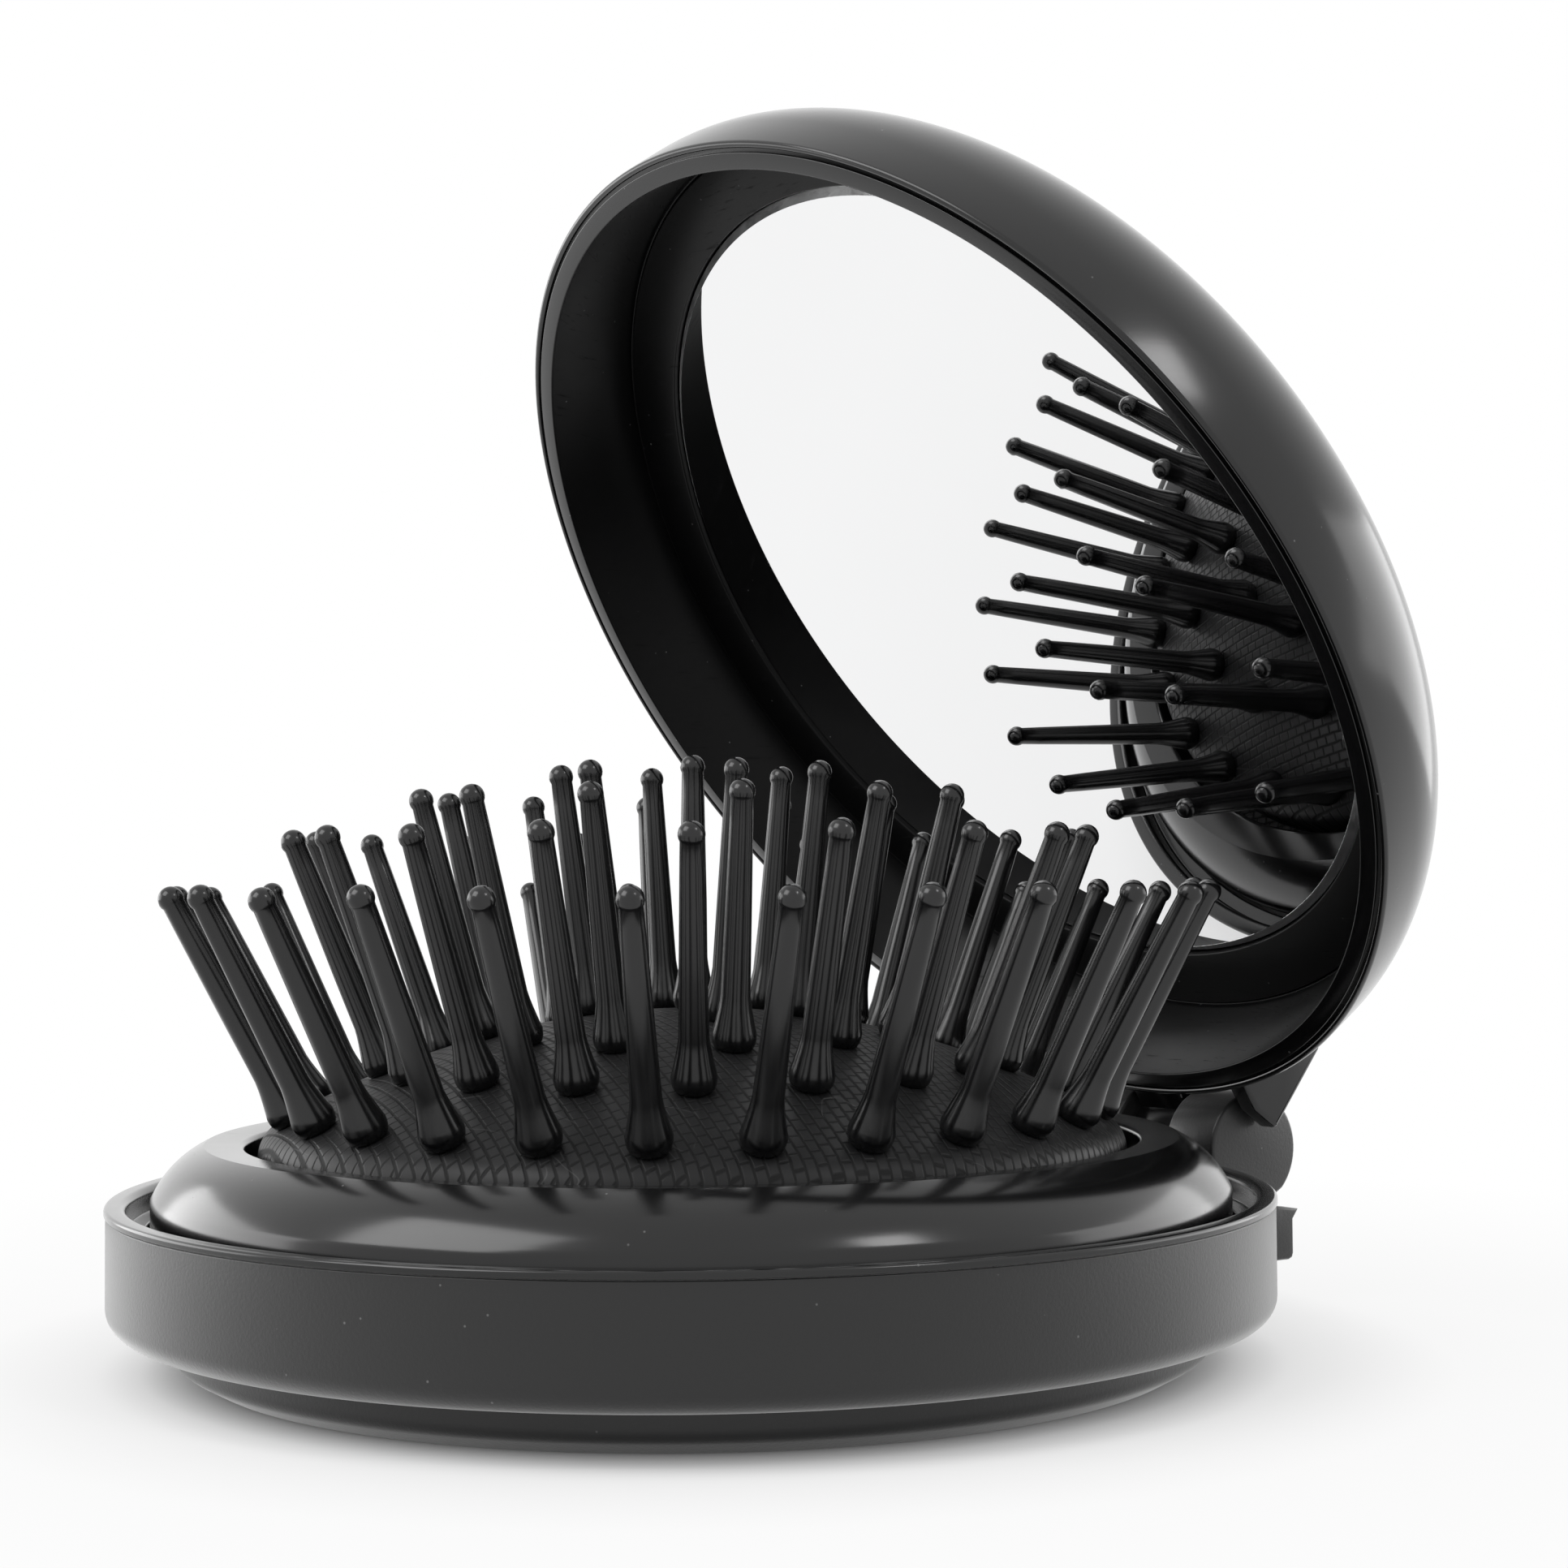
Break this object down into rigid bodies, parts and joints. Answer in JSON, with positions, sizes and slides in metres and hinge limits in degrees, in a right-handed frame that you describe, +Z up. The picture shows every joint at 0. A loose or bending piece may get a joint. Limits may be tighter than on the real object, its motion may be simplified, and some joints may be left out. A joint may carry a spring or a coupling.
{
  "type": "folding hairbrush with mirror",
  "caption": "Round compact pop-up hairbrush with ball-tipped bristles on a domed rubber pad, in a ring case with a hinged lid that holds a mirror.",
  "frame": {"origin": "middle of the foot's flat underside", "axes": "+Z up out of the pad, +Y towards the hinge, +X along the hinge pin"},
  "size_m": [0.0668, 0.0741, 0.0706],
  "materials": {
    "case_black": "polished black moulded plastic with fine handling scuffs",
    "bristle_black": "glossy black nylon, faint moulding lines",
    "pad_rubber": "black moulded rubber with a fine embossed grid",
    "pin_steel": "plain drawn steel wire",
    "mirror": "silvered glass with a bevelled edge",
    "foam": "thin adhesive foam"
  },
  "bodies": {
    "brush": {"foot_cap": "case_black", "drum_shell": "case_black", "clamp_ring": "case_black", "collar": "case_black", "cushion_pad": "pad_rubber", "bristles_row_1": "bristle_black", "bristles_row_2": "bristle_black", "bristles_row_3": "bristle_black", "bristles_row_4": "bristle_black", "bristle_centre": "bristle_black"},
    "case": {"case_ring": "case_black", "rim_band": "case_black", "hinge_pin": "pin_steel"},
    "lid": {"lid_shell": "case_black", "mirror_bezel": "case_black", "mirror_glass": "mirror", "mirror_foam": "foam"}
  },
  "joints": [
    {"name": "case_slide", "type": "slide", "parent": "brush", "child": "case", "axis": [0, 0, -1], "range_m": [-0.0044, 0], "deforming": ["cushion_pad", "bristles_row_1", "bristles_row_2", "bristles_row_3", "bristles_row_4", "bristle_centre"]},
    {"name": "lid_swing", "type": "hinge", "parent": "case", "child": "lid", "pos_m": [0, 0.0373, 0.00945], "axis": [-1, 0, 0], "range_deg": [-55.7, 119.3]}
  ]
}
